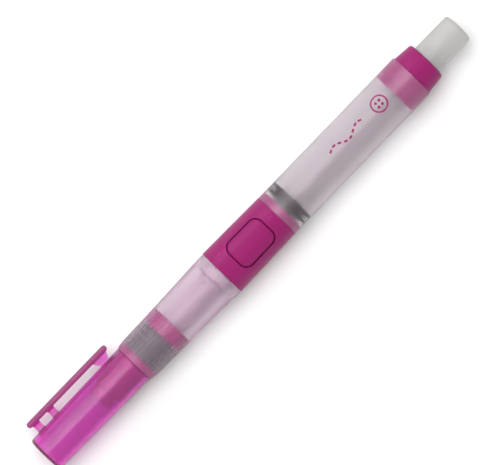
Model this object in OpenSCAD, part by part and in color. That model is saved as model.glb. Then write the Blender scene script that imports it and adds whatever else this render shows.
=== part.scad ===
// Push-feed fabric marking pen, in millimetres.
// The pen lies along +X with the closed end of the cap at the origin; the clip points to +Y and
// the side button to +Z. Pressing the knob drives a collet that feeds the stick; pressing the side
// button draws the clutch ring off the collet, so that the stick can be pushed back.

/* [Shells] */
// Length of the cap
cap_len = 32.1; // [31.5:0.1:33]
// Length of the ribbed front barrel that shows
grip_len = 31.8; // [31:0.1:33]
// Length of the centre sleeve
sleeve_len = 20; // [20:0.1:21]
// Length of the rear barrel
rear_len = 48.8; // [46:0.1:50]
// Length of the end collar that shows
collar_len = 5.5; // [5:0.1:6]
// Length of the push knob that shows
knob_len = 11.75; // [10:0.05:13]
// Wall thickness of the barrels
wall = 0.92; // [0.8:0.02:0.92]

/* [Diameters] */
// Cap at its closed end
cap_end_d = 10.3; // [10.2:0.05:10.6]
// Cap at its mouth
cap_mouth_d = 11.2; // [11:0.05:11.4]
// Front barrel at its front edge
grip_edge_d = 11.5; // [11.4:0.05:11.8]
// Front barrel where its ribs begin
grip_front_d = 12.05; // [11.9:0.05:12.3]
// Front barrel where it meets the sleeve
grip_rear_d = 13.35; // [13:0.05:13.4]
// Sleeve at its front end
sleeve_front_d = 13.56; // [13.4:0.02:13.8]
// Sleeve at its rear end
sleeve_rear_d = 12.9; // [12.8:0.02:13.2]
// Rear barrel
rear_d = 12.84; // [12.8:0.02:13]
// Push knob
knob_d = 8.44; // [8.4:0.02:8.6]

/* [Clip] */
// Thickness of the clip bar
clip_t = 1.6; // [1.2:0.1:1.8]
// Width of the clip bar
clip_w = 4.2; // [3:0.1:5]
// Distance from the pen's axis to the outside of the clip
clip_reach = 8.95; // [8.7:0.05:9.2]
// Length of the clip bar
clip_len = 28.2; // [26:0.1:28.6]

/* [Grip ribs] */
// Number of grooves between the ribs
rib_count = 34; // [24:1:40]
// Length of the ribbed band
rib_len = 12.3; // [8:0.1:13]
// Depth of each groove
rib_depth = 0.2; // [0.1:0.02:0.25]

/* [Side button] */
// Length of the button along the pen
button_len = 11.7; // [11.2:0.1:11.8]
// Width of the button across the pen
button_w = 8.3; // [8.2:0.02:8.36]
// Travel of the button when pressed
button_travel = 1; // [0.8:0.05:1]

/* [Feed] */
// Travel of the push knob
knob_travel = 3; // [2:0.1:3]
// Radius of the marking stick
stick_r = 2.4; // [2.2:0.05:2.4]
// Length of the marking stick
stick_len = 35.1; // [30:0.1:35.1]
// Radius of the feed rod
rod_r = 1.45; // [1.3:0.05:1.5]

/* [Hidden] */
$fn = 96;

magenta = [0.72, 0.16, 0.5];
frosted = [0.88, 0.8, 0.86, 0.5];
clear_white = [0.9, 0.9, 0.88, 0.6];
black_rubber = [0.13, 0.12, 0.13];
steel = [0.7, 0.7, 0.72];
brass = [0.78, 0.62, 0.32];

seam = 0.05;                         // gap between shells that butt together
running = 0.03;                      // radial clearance of a sliding fit
loose = 0.1;                         // radial clearance where parts pass freely
over = 1;                            // how far a cutter passes the faces it cuts

// Stations along the pen
grip_x = cap_len + 2 * seam;
sleeve_x = grip_x + grip_len - seam;
rear_x = sleeve_x + sleeve_len;
collar_x = rear_x + rear_len;
knob_x = collar_x + collar_len;
end_x = knob_x + knob_len;

// Cap and nozzle
cap_end_t = 0.8;                     // thickness of the closed end
cap_bore_r = 4.6;
cap_deep_r = 4.2;                    // inside of the cap at its closed end
cap_round = 0.75;
cap_step_x = 21;                     // where the cap's bore starts to narrow
nozzle_r = cap_bore_r - loose;
nozzle_x = 19.3;
tip_r = 3.4;
tip_len = 2.8;
bead_r = cap_bore_r - running;
tail_r = 5;
tail_groove_r = 4.3;
seal_x = grip_x + 2;
seal_len = 7.8;
tail_end_x = seal_x + seal_len + 4;

// Front barrel
grip_bore_r = tail_r + seam;
grip_flare = 2.2;                    // length of the flare behind the front edge
rib_x = grip_x + 1.5;
groove_w = 0.5;
ledge_r = 4.7;                       // bore behind the nozzle, which the nozzle rests against
frame_r = rear_d / 2 - wall - seam;
frame_x = sleeve_x - 2.95;

// Refill and feed rod
stick_x = nozzle_x + 0.6;
follower_x = stick_x + stick_len;
follower_len = 3.2;
cup_depth = 1.6;                     // how far the rod sits in the follower
refill_r = stick_r + 0.6;
refill_x = nozzle_x + tip_len + 0.4;
rod_x = follower_x + follower_len - cup_depth;
rod_end_x = 124;
rod_head_r = 1.8;

// Mechanism frame
chamber_r = 4.6;
chamber_x = frame_x + 4;
brake_r = 3.4;
brake_len = 2;
seat_x = frame_x + 21;
frame_end_x = rear_x + 0.05;
seat_flange_len = 2.1;
button_x = frame_x + 13.4;           // middle of the side button
tab_len = 0.9;
window_gap = 0.1;                    // gap all round the side button

// Collet, clutch ring and release slider
jaw_x = chamber_x + knob_travel + 0.3;
jaw_head_r = 3;
jaw_head_len = 1.4;
cone_fall = 0.2;                     // fall of the collet's cone, radius over length
ring_x = jaw_x + jaw_head_len + 0.4;
ring_len = 2.6;
ring_r = 3.42;
slider_r = 4.5;
slider_len = 8.3;
leg_x = ring_x + ring_len + 0.6;
leg_len = 3;
leg_in = 3.5;                        // inner and outer faces of the button's two legs
leg_out = 4.05;
leg_low = -0.9;                      // lowest corner of each leg
collet_r = 2.3;
collet_tail_x = jaw_x + 11.3;
spigot_r = 2.05;
spigot_len = 4;

// Drive tube, bushing and knob
tube_r = 2.6;
tube_bore_r = 1.9;
tube_end_x = knob_x + 3.3;
bushing_x = rear_x + 3;
bushing_len = 2.8;
bushing_r = 5.15;
o_ring_r = 0.44;
cup_x = collar_x - 6.5;
cup_len = 1.3;
cup_floor = 0.7;
flange_r = 4.9;
flange_len = 1.2;
knob_shoulder_x = collar_x + 4.3;
spring_wire_r = 0.2;

// A solid turned about the pen's axis, from [x, radius] points
module turned(profile)
    rotate([0, 90, 0]) rotate_extrude() polygon([for (p = profile) [p[1], p[0]]]);

// A plain tube about the pen's axis
module tube(x0, x1, outer, inner)
    turned([[x0, inner], [x0, outer], [x1, outer], [x1, inner]]);

// A round rod or bore about the pen's axis
module rod(x0, x1, radius)
    turned([[x0, 0], [x0, radius], [x1, radius], [x1, 0]]);

// A flat rectangle with round corners, centred
module round_rectangle(length, width, radius) {
    square([length - 2 * radius, width], center = true);
    square([length, width - 2 * radius], center = true);
    for (sx = [-1, 1], sy = [-1, 1])
        translate([sx * (length / 2 - radius), sy * (width / 2 - radius)]) circle(radius, $fn = 48);
}

// A round-cornered plug on the +Z side, above the pen's axis
module window_plug(length, width, radius)
    translate([button_x, 0, 0]) linear_extrude(sleeve_front_d)
        round_rectangle(length, width, radius);

// Points of a quarter circle in [x, radius] space, from one angle down through 90 degrees
function quarter(x, r, size, from) =
    [for (i = [0:6]) let (a = from - 15 * i) [x + size * cos(a), r + size * sin(a)]];

// Radius of the collet's cone at a station
function cone_r(x) = jaw_head_r - cone_fall * (x - jaw_x - jaw_head_len);

// Radius of the sleeve at a station
function sleeve_r(x) =
    (sleeve_front_d + (sleeve_rear_d - sleeve_front_d) * (x - sleeve_x) / sleeve_len) / 2;

// Radius of the front barrel at a station behind its flare
function grip_r(x) =
    (grip_front_d + (grip_rear_d - grip_front_d) * (x - grip_x - grip_flare)
        / (sleeve_x - grip_x - grip_flare)) / 2;

// A coil spring about the pen's axis, swept as one polyhedron
module coil(x0, x1, mean_r, wire_r, turns) {
    steps = 18;
    sides = 8;
    n = round(turns * steps);
    lift = x1 - x0 - 2 * wire_r;
    points = [
        for (i = [0:n]) let (a = 360 * i / steps, x = x0 + wire_r + lift * i / n)
            for (k = [0:sides - 1]) let (b = 360 * k / sides, r = mean_r + wire_r * cos(b))
                [x + wire_r * sin(b), r * cos(a), r * sin(a)]
    ];
    skin = [
        for (i = [0:n - 1], k = [0:sides - 1]) let (a = i * sides, b = a + sides, m = (k + 1) % sides)
            [a + k, b + k, b + m, a + m]
    ];
    ends = [[for (k = [0:sides - 1]) k], [for (k = [sides - 1:-1:0]) n * sides + k]];
    polyhedron(points, concat(skin, ends), convexity = 10);
}

module clip() {
    inner = clip_reach - clip_t;
    x0 = 2.1;
    nose_r = 0.75;
    posts = [[3.1, 2.1], [8.3, 2]];
    post_w = 2.4;
    pad_x = x0 + clip_len - 5.8;
    tip_y = cap_mouth_d / 2 + 0.06;
    // bar with round ends, crowned outside
    intersection() {
        translate([x0, 0, -clip_w / 2]) linear_extrude(clip_w) {
            translate([nose_r, inner]) square([clip_len - 2 * nose_r, clip_t]);
            translate([0, inner + nose_r]) square([clip_len, clip_t - 2 * nose_r]);
            for (x = [nose_r, clip_len - nose_r], y = [inner + nose_r, clip_reach - nose_r])
                translate([x, y]) circle(nose_r, $fn = 32);
        }
        rod(0, cap_len, clip_reach);
    }
    // two posts that join the bar to the shell
    for (p = posts)
        translate([p[0], cap_end_d / 2 - 0.4, -post_w / 2])
            cube([p[1], inner - cap_end_d / 2 + 0.6, post_w]);
    // rib that presses on the pocket
    translate([pad_x, 0, -0.6]) linear_extrude(1.2)
        polygon([[0, inner + 0.2], [1.3, tip_y], [4.2, tip_y], [5.1, inner + 0.2]]);
}

module cap()
    color(magenta) {
        difference() {
            turned(concat(
                [[0, 0]],
                quarter(cap_round, cap_end_d / 2 - cap_round, cap_round, 180),
                [[cap_len - 0.2, cap_mouth_d / 2], [cap_len, cap_mouth_d / 2 - 0.2], [cap_len, 0]]
            ));
            turned([
                [cap_end_t, 0], [cap_end_t, cap_deep_r], [cap_step_x, cap_bore_r],
                [cap_len + over, cap_bore_r], [cap_len + over, 0]
            ]);
        }
        difference() {
            clip();
            rod(0, cap_len, cap_end_d / 2 - 0.3);
        }
    }

module nozzle()
    color(magenta) difference() {
        turned([
            [nozzle_x, 0], [nozzle_x, tip_r - 0.4], [nozzle_x + 0.4, tip_r],
            [nozzle_x + tip_len, tip_r], [nozzle_x + tip_len + 0.6, nozzle_r],
            [grip_x - 2.8, nozzle_r], [grip_x - 2.5, bead_r], [grip_x - 2.1, bead_r],
            [grip_x - 1.8, nozzle_r], [grip_x, nozzle_r], [grip_x, tail_r], [seal_x, tail_r],
            [seal_x, tail_groove_r], [seal_x + seal_len, tail_groove_r],
            [seal_x + seal_len, tail_r], [tail_end_x, tail_r], [tail_end_x, 0]
        ]);
        rod(nozzle_x - over, tail_end_x + over, stick_r + 0.05);
        rod(refill_x - 0.02, tail_end_x + over, refill_r + seam);
    }

module nozzle_seal()
    color(black_rubber) turned([
        [seal_x + seam, tail_groove_r + 0.02], [seal_x + seam, tail_r - 0.02],
        [seal_x + seal_len - seam, tail_r - 0.02],
        [seal_x + seal_len - seam, tail_groove_r + 0.02]
    ]);

module grip_barrel()
    color(frosted) difference() {
        turned([
            [grip_x, grip_bore_r], [grip_x, grip_edge_d / 2 - 0.15],
            [grip_x + 0.15, grip_edge_d / 2],
            [grip_x + grip_flare, grip_front_d / 2], [sleeve_x - seam, grip_rear_d / 2],
            [sleeve_x - seam, frame_r + seam], [frame_x - 0.1, frame_r + seam],
            [frame_x - 0.1, ledge_r], [tail_end_x + seam, ledge_r], [tail_end_x + seam, grip_bore_r]
        ]);
        // grooves that follow the taper
        for (i = [0:rib_count - 1])
            rotate([360 * i / rib_count, 0, 0])
                translate([rib_x, -groove_w / 2, grip_r(rib_x) - rib_depth])
                    rotate([0, -atan((grip_r(rib_x + rib_len) - grip_r(rib_x)) / rib_len), 0])
                        cube([rib_len, groove_w, over]);
    }

module refill_tube()
    color(clear_white) difference() {
        union() {
            rod(refill_x, frame_x - 0.1, refill_r);
            rod(frame_x - 1.6, frame_x - 0.1, refill_r + 0.9);
        }
        rod(refill_x - over, frame_x + over, stick_r + seam);
    }

module marking_stick()
    color([0.8, 0.2, 0.42]) turned([
        [stick_x, 0], [stick_x, stick_r - 0.35], [stick_x + 0.35, stick_r],
        [follower_x, stick_r], [follower_x, 0]
    ]);

module stick_follower()
    color([0.92, 0.92, 0.9]) difference() {
        rod(follower_x + 0.02, follower_x + follower_len, stick_r);
        rod(rod_x - 0.02, follower_x + follower_len + over, rod_r + 0.02);
        tube(follower_x + 0.9, follower_x + 1.3, stick_r + over, stick_r - 0.35);
    }

module feed_rod()
    color([0.9, 0.9, 0.9]) {
        rod(rod_x, rod_end_x, rod_r);
        rod(rod_end_x - 1.4, rod_end_x, rod_head_r);
    }

module rod_brake()
    color([0.6, 0.6, 0.62])
        tube(frame_x + 1.1, frame_x + 0.98 + brake_len, brake_r, rod_r + 0.02);

module mechanism_frame()
    color([0.9, 0.86, 0.9, 0.7]) difference() {
        rod(frame_x, frame_end_x, frame_r);
        rod(frame_x - over, frame_x + 1 + brake_len, brake_r + 0.02);
        rod(frame_x, chamber_x + over, 2);
        rod(chamber_x, frame_end_x + over, chamber_r);
        window_plug(button_len + 2 * tab_len + 0.4, button_w + 0.3, 1);
    }

module centre_sleeve()
    color(magenta) difference() {
        turned([
            [sleeve_x, frame_r + seam], [sleeve_x, sleeve_front_d / 2 - 0.15],
            [sleeve_x + 0.15, sleeve_front_d / 2], [rear_x - seam - 0.15, sleeve_rear_d / 2],
            [rear_x - seam, sleeve_rear_d / 2 - 0.15], [rear_x - seam, frame_r + seam]
        ]);
        window_plug(button_len + 2 * window_gap, button_w + 2 * window_gap, 2.4);
    }

module side_button() {
    sink = 0.12;                     // how far the pad sits below the sleeve
    pad_t = 0.85;
    x0 = button_x - button_len / 2;
    x1 = button_x + button_len / 2;
    color(magenta) {
        // pad that follows the sleeve
        intersection() {
            window_plug(button_len, button_w, 2.3);
            turned([
                [x0 - over, sleeve_r(x0 - over) - sink - pad_t],
                [x0 - over, sleeve_r(x0 - over) - sink],
                [x1 + over, sleeve_r(x1 + over) - sink],
                [x1 + over, sleeve_r(x1 + over) - sink - pad_t]
            ]);
        }
        // tabs that hold the pad under the sleeve
        intersection() {
            for (x = [x0 - tab_len, x1 - 0.8])
                translate([x, -1.5, 0]) cube([tab_len + 0.8, 3, sleeve_front_d]);
            tube(x0 - over, x1 + over, frame_r, 4.9);
        }
        for (x = [x0, x1 - 0.8])
            translate([x, -1.5, 5.2]) cube([0.8, 3, 0.6]);
        // two legs whose slanted feet drive the slider
        for (y = [leg_out, -leg_in])
            translate([0, y, 0])
                rotate([90, 0, 0]) linear_extrude(leg_out - leg_in)
                    polygon([
                        [leg_x, leg_low], [leg_x + leg_len, leg_low + leg_len],
                        [leg_x + leg_len, 4.6], [leg_x, 4.6]
                    ]);
    }
}

module release_slider() {
    ramp_gap = 0.05;
    pocket_x = leg_x - button_travel - 0.2;
    ramp_z = leg_low - (leg_x - pocket_x) - ramp_gap;
    color([0.94, 0.93, 0.9]) difference() {
        tube(ring_x, ring_x + slider_len, slider_r, ring_r + 0.03);
        for (y = [leg_out + 0.15, -leg_in + 0.1])
            translate([0, y, 0]) rotate([90, 0, 0]) linear_extrude(leg_out - leg_in + 0.25)
                polygon([
                    [pocket_x, ramp_z], [pocket_x + 9, ramp_z + 9], [pocket_x, ramp_z + 9]
                ]);
    }
}

module clutch_ring()
    color(brass) turned([
        [ring_x, cone_r(ring_x) + running], [ring_x, ring_r], [ring_x + ring_len, ring_r],
        [ring_x + ring_len, cone_r(ring_x + ring_len) + running]
    ]);

module release_spring()
    color(steel) coil(ring_x + slider_len + 0.03, seat_x - 0.03, 3.55, spring_wire_r, 4);

module collet()
    color([0.85, 0.8, 0.62]) difference() {
        cone_end_x = jaw_x + jaw_head_len + (jaw_head_r - collet_r) / cone_fall;
        turned([
            [jaw_x, 0], [jaw_x, jaw_head_r - 0.4], [jaw_x + 0.4, jaw_head_r],
            [jaw_x + jaw_head_len, jaw_head_r], [cone_end_x, collet_r], [collet_tail_x, collet_r],
            [collet_tail_x, spigot_r], [collet_tail_x + spigot_len, spigot_r],
            [collet_tail_x + spigot_len, 0]
        ]);
        rod(jaw_x - over, collet_tail_x + spigot_len + over, rod_r + running);
        rod(cone_end_x, collet_tail_x + spigot_len + over, 1.75);
        for (i = [0:2])
            rotate([120 * i, 0, 0]) translate([jaw_x - over, -0.2, 0]) cube([9, 0.4, 4]);
    }

// flanged plug that closes the rear of the frame
module spring_seat()
    color(magenta) turned([
        [seat_x, tube_r + loose], [seat_x, chamber_r - 0.02],
        [frame_end_x + 0.02, chamber_r - 0.02], [frame_end_x + 0.02, frame_r],
        [frame_end_x + seat_flange_len, frame_r],
        [frame_end_x + seat_flange_len, tube_r + loose]
    ]);

module rear_bushing()
    color(black_rubber) difference() {
        tube(bushing_x, bushing_x + bushing_len, bushing_r, tube_r + 0.06);
        tube(bushing_x + 0.9, bushing_x + 0.9 + 2 * o_ring_r + 0.02, bushing_r + over, bushing_r - 0.55);
    }

module bushing_o_ring()
    color(black_rubber) translate([bushing_x + 0.91 + o_ring_r, 0, 0]) rotate([0, 90, 0])
        rotate_extrude() translate([rear_d / 2 - wall - o_ring_r - 0.01, 0]) circle(o_ring_r, $fn = 24);

module drive_tube()
    color(clear_white) difference() {
        rod(collet_tail_x + 0.05, tube_end_x, tube_r);
        rod(collet_tail_x - over, collet_tail_x + spigot_len + 0.1, spigot_r + 0.02);
        rod(collet_tail_x, tube_end_x + over, tube_bore_r);
    }

module rear_barrel()
    color(frosted) turned([
        [rear_x, rear_d / 2 - wall], [rear_x, rear_d / 2], [collar_x - 0.25, rear_d / 2],
        [collar_x, rear_d / 2 - 0.25], [collar_x, rear_d / 2 - wall]
    ]);

module spring_cup()
    color(magenta) difference() {
        rod(cup_x, cup_x + cup_len, frame_r);
        rod(cup_x - over, cup_x + cup_len + over, tube_r + loose);
        rod(cup_x + cup_floor, cup_x + cup_len + over, 3.5);
    }

module knob_spring()
    color(steel) coil(cup_x + cup_floor + 0.03, knob_shoulder_x - 0.03, 3.07, spring_wire_r, 9);

module end_collar() {
    bore_r = knob_d / 2 + 0.08;
    rim_r = 5.55;                    // where the taper ends
    rim_round = 0.7;
    color(magenta) turned(concat(
        [[cup_x + cup_len + 0.02, flange_r + 0.07], [cup_x + cup_len + 0.02, frame_r]],
        [[collar_x + 0.02, frame_r], [collar_x + 0.02, 6.05]],
        quarter(knob_x - rim_round, rim_r - rim_round, rim_round, 90),
        [[knob_x, bore_r], [collar_x - 0.2, bore_r], [collar_x - 0.2, flange_r + 0.07]]
    ));
}

module push_knob() {
    end_round = 0.9;
    crown = 0.2;                     // rise of the crowned end
    r = knob_d / 2;
    flange_x = collar_x - 0.25 - flange_len;
    color(clear_white) difference() {
        turned(concat(
            [[flange_x, 0], [flange_x, flange_r]],
            [[flange_x + flange_len, flange_r], [flange_x + flange_len, r]],
            quarter(end_x - crown - end_round, r - end_round, end_round, 90),
            [[end_x, r - 2 * end_round], [end_x, 0]]
        ));
        rod(flange_x - over, knob_shoulder_x, 3.55);
        rod(flange_x - over, tube_end_x + 0.05, tube_r + 0.02);
        rod(flange_x, end_x - 1.4, tube_r - 0.5);
    }
}

cap();
nozzle();
nozzle_seal();
grip_barrel();
refill_tube();
marking_stick();
stick_follower();
feed_rod();
rod_brake();
mechanism_frame();
centre_sleeve();
side_button();
release_slider();
clutch_ring();
release_spring();
collet();
spring_seat();
rear_bushing();
bushing_o_ring();
drive_tube();
rear_barrel();
spring_cup();
knob_spring();
end_collar();
push_knob();
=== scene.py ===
import math

import bmesh
import bpy
from mathutils import Matrix, Vector


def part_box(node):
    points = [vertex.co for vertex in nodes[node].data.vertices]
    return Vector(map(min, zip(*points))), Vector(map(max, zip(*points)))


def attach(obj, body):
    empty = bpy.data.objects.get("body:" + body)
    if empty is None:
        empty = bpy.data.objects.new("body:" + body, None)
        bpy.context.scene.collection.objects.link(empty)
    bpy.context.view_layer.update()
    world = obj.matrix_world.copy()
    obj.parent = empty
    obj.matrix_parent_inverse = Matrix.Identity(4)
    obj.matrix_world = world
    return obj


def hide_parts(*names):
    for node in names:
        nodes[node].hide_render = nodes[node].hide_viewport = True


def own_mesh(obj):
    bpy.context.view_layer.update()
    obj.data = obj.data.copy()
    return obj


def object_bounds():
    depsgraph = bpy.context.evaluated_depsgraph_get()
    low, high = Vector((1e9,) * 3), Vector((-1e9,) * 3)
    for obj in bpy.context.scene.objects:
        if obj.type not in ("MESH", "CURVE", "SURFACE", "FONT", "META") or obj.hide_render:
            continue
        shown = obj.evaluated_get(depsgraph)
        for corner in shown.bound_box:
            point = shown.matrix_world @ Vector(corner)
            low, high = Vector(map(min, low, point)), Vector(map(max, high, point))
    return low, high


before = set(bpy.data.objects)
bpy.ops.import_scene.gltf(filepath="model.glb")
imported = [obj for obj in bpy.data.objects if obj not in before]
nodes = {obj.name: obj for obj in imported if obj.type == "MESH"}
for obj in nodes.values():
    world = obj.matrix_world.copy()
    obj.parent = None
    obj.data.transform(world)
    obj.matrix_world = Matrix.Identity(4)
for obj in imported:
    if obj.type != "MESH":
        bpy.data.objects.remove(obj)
cadLow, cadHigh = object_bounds()
scene = bpy.context.scene

mm = 0.001
weld = 0.5e-6  # points closer than this are one point
print("frame loaded:", len(nodes), "nodes")


# shader groups


def newGroup(name, inputs, outputs):
    group = bpy.data.node_groups.new(name, "ShaderNodeTree")
    for label, kind, value in inputs:
        socket = group.interface.new_socket(label, in_out="INPUT", socket_type=kind)
        if value is not None:
            socket.default_value = value
    for label, kind in outputs:
        group.interface.new_socket(label, in_out="OUTPUT", socket_type=kind)
    start = group.nodes.new("NodeGroupInput")
    end = group.nodes.new("NodeGroupOutput")
    return group, start.outputs, end.inputs


def addNode(tree, kind, settings=None, inputs=None):
    node = tree.nodes.new(kind)
    for key, value in (settings or {}).items():
        setattr(node, key, value)
    for key, value in (inputs or {}).items():
        if isinstance(value, bpy.types.NodeSocket):
            tree.links.new(value, node.inputs[key])
        else:
            node.inputs[key].default_value = value
    return node


def noise(tree, vector, scale, detail=3.0, roughness=0.5, distortion=0.0):
    node = addNode(
        tree,
        "ShaderNodeTexNoise",
        inputs={"Vector": vector, "Detail": detail, "Roughness": roughness, "Distortion": distortion},
    )
    if isinstance(scale, bpy.types.NodeSocket):
        tree.links.new(scale, node.inputs["Scale"])
    else:
        node.inputs["Scale"].default_value = scale
    return node.outputs["Fac"]


def math2(tree, operation, a, b=0.0, clamp=False):
    node = addNode(tree, "ShaderNodeMath", {"operation": operation, "use_clamp": clamp}, {0: a, 1: b})
    return node.outputs[0]


def spread(tree, value, low, high, toLow=0.0, toHigh=1.0):
    node = addNode(
        tree,
        "ShaderNodeMapRange",
        {"interpolation_type": "SMOOTHSTEP"},
        {"Value": value, "From Min": low, "From Max": high, "To Min": toLow, "To Max": toHigh},
    )
    return node.outputs["Result"]


def mixColour(tree, share, plain, other):
    node = addNode(tree, "ShaderNodeMix", {"data_type": "RGBA"}, {0: share, 6: plain, 7: other})
    return node.outputs[2]


def stretch(tree, vector, x, y, z):
    scales = {"Vector": vector, "Scale": (x, y, z)}
    node = addNode(tree, "ShaderNodeMapping", {"vector_type": "POINT"}, scales)
    return node.outputs["Vector"]


# fine spark-eroded texture of an injection mould
def buildMouldGrain():
    group, given, out = newGroup(
        "mouldGrain",
        [
            ("Vector", "NodeSocketVector", None),
            ("Fineness", "NodeSocketFloat", 6000.0),
            ("Depth", "NodeSocketFloat", 1.0),
            ("Ripple", "NodeSocketFloat", 0.3),
        ],
        [("Height", "NodeSocketFloat"), ("Fleck", "NodeSocketFloat")],
    )
    fine = noise(group, given["Vector"], given["Fineness"], 4.0, 0.6)
    wide = noise(group, given["Vector"], 240.0, 2.0, 0.4)
    cells = addNode(
        group,
        "ShaderNodeTexVoronoi",
        {"feature": "F1"},
        {"Vector": given["Vector"], "Scale": math2(group, "MULTIPLY", given["Fineness"], 0.45)},
    )
    pits = spread(group, cells.outputs["Distance"], 0.05, 0.3)
    rough = math2(group, "ADD", fine, math2(group, "MULTIPLY", pits, 0.5))
    grain = math2(group, "MULTIPLY", rough, given["Depth"])
    rolling = math2(group, "MULTIPLY", wide, given["Ripple"])
    group.links.new(math2(group, "ADD", grain, rolling), out["Height"])
    group.links.new(spread(group, fine, 0.55, 0.75), out["Fleck"])
    return group


# smudges from fingers and hair-fine scratches along and across the pen
def buildHandling():
    group, given, out = newGroup(
        "handling",
        [
            ("Vector", "NodeSocketVector", None),
            ("Roughness", "NodeSocketFloat", 0.3),
            ("Smudge", "NodeSocketFloat", 0.05),
            ("Scratch", "NodeSocketFloat", 0.3),
        ],
        [("Roughness", "NodeSocketFloat"), ("Scratch Height", "NodeSocketFloat")],
    )
    blotch = spread(group, noise(group, given["Vector"], 170.0, 3.0, 0.55, 0.6), 0.4, 0.68)
    along = noise(group, stretch(group, given["Vector"], 60.0, 4200.0, 4200.0), 1.0, 2.0, 0.6)
    across = noise(group, stretch(group, given["Vector"], 5200.0, 220.0, 180.0), 1.0, 2.0, 0.6)
    hair = math2(group, "MAXIMUM", spread(group, along, 0.71, 0.76), spread(group, across, 0.74, 0.78))
    patchy = spread(group, noise(group, given["Vector"], 90.0, 2.0), 0.45, 0.7)
    hair = math2(group, "MULTIPLY", hair, math2(group, "MULTIPLY", patchy, given["Scratch"]))
    dulled = math2(group, "ADD", given["Roughness"], math2(group, "MULTIPLY", blotch, given["Smudge"]))
    dulled = math2(group, "ADD", dulled, math2(group, "MULTIPLY", hair, 0.25), clamp=True)
    group.links.new(dulled, out["Roughness"])
    group.links.new(math2(group, "MULTIPLY", hair, -1.0), out["Scratch Height"])
    return group


# streaks and clouds in the colour where the melt flowed along the mould
def buildFlowTint():
    group, given, out = newGroup(
        "flowTint",
        [
            ("Vector", "NodeSocketVector", None),
            ("Colour", "NodeSocketColor", (0.8, 0.8, 0.8, 1.0)),
            ("Deeper", "NodeSocketColor", (0.6, 0.6, 0.6, 1.0)),
            ("Amount", "NodeSocketFloat", 0.3),
        ],
        [("Colour", "NodeSocketColor")],
    )
    streaks = noise(group, stretch(group, given["Vector"], 45.0, 520.0, 520.0), 1.0, 3.0, 0.55, 0.3)
    clouds = noise(group, given["Vector"], 75.0, 2.0, 0.5)
    both = math2(group, "MULTIPLY", streaks, 0.55)
    both = math2(group, "ADD", both, math2(group, "MULTIPLY", clouds, 0.45))
    share = math2(group, "MULTIPLY", spread(group, both, 0.36, 0.66), given["Amount"])
    mixed = mixColour(group, share, given["Colour"], given["Deeper"])
    group.links.new(mixed, out["Colour"])
    return group


# darker colour painted past a height along Y from the pen's axis (on the cap, the clip bar)
def buildDarkerPastHeight():
    group, given, out = newGroup(
        "thickTint",
        [
            ("Vector", "NodeSocketVector", None),
            ("Start", "NodeSocketFloat", 1.0),
            ("Colour", "NodeSocketColor", (0.8, 0.8, 0.8, 1.0)),
            ("Darker", "NodeSocketColor", (0.4, 0.4, 0.4, 1.0)),
        ],
        [("Colour", "NodeSocketColor")],
    )
    height = addNode(group, "ShaderNodeSeparateXYZ", inputs={"Vector": given["Vector"]}).outputs["Y"]
    past = math2(group, "SUBTRACT", height, given["Start"])
    share = spread(group, past, -0.2 * mm, 0.5 * mm)
    mixed = mixColour(group, share, given["Colour"], given["Darker"])
    group.links.new(mixed, out["Colour"])
    return group


# frosted plastic looks clearer along the stretch where another part presses on its bore
def buildContactBand():
    group, given, out = newGroup(
        "contactBand",
        [
            ("Vector", "NodeSocketVector", None),
            ("Start", "NodeSocketFloat", 0.0),
            ("End", "NodeSocketFloat", 0.01),
            ("Frosted", "NodeSocketFloat", 0.4),
            ("Clear", "NodeSocketFloat", 0.2),
        ],
        [("Roughness", "NodeSocketFloat")],
    )
    station = addNode(group, "ShaderNodeSeparateXYZ", inputs={"Vector": given["Vector"]}).outputs["X"]
    after = spread(group, math2(group, "SUBTRACT", station, given["Start"]), -0.2 * mm, 0.2 * mm)
    before = spread(group, math2(group, "SUBTRACT", given["End"], station), -0.2 * mm, 0.2 * mm)
    share = math2(group, "MULTIPLY", after, before)
    mixed = addNode(
        group,
        "ShaderNodeMix",
        {"data_type": "FLOAT"},
        {0: share, 2: given["Frosted"], 3: given["Clear"]},
    )
    group.links.new(mixed.outputs[0], out["Roughness"])
    return group


# convex edges recoloured by pointiness: rubbed wear, and partly a painted rim highlight
def buildEdgeWearAndHighlight():
    group, given, out = newGroup(
        "edgeWearAndHighlight",
        [
            ("Vector", "NodeSocketVector", None),
            ("Pointiness", "NodeSocketFloat", 0.5),
            ("Colour", "NodeSocketColor", (0.8, 0.8, 0.8, 1.0)),
            ("Worn And Lit", "NodeSocketColor", (0.9, 0.9, 0.9, 1.0)),
            ("Amount", "NodeSocketFloat", 0.3),
        ],
        [("Colour", "NodeSocketColor"), ("Mask", "NodeSocketFloat")],
    )
    edge = spread(group, given["Pointiness"], 0.52, 0.6)
    broken = spread(group, noise(group, given["Vector"], 900.0, 4.0, 0.65), 0.35, 0.6)
    mask = math2(group, "MULTIPLY", math2(group, "MULTIPLY", edge, broken), given["Amount"])
    mixed = mixColour(group, mask, given["Colour"], given["Worn And Lit"])
    group.links.new(mixed, out["Colour"])
    group.links.new(mask, out["Mask"])
    return group


mouldGrain = buildMouldGrain()
handling = buildHandling()
flowTint = buildFlowTint()
thickTint = buildDarkerPastHeight()
contactBand = buildContactBand()
edgeWearAndHighlight = buildEdgeWearAndHighlight()


# materials

bumpRelief = 0.02


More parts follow.
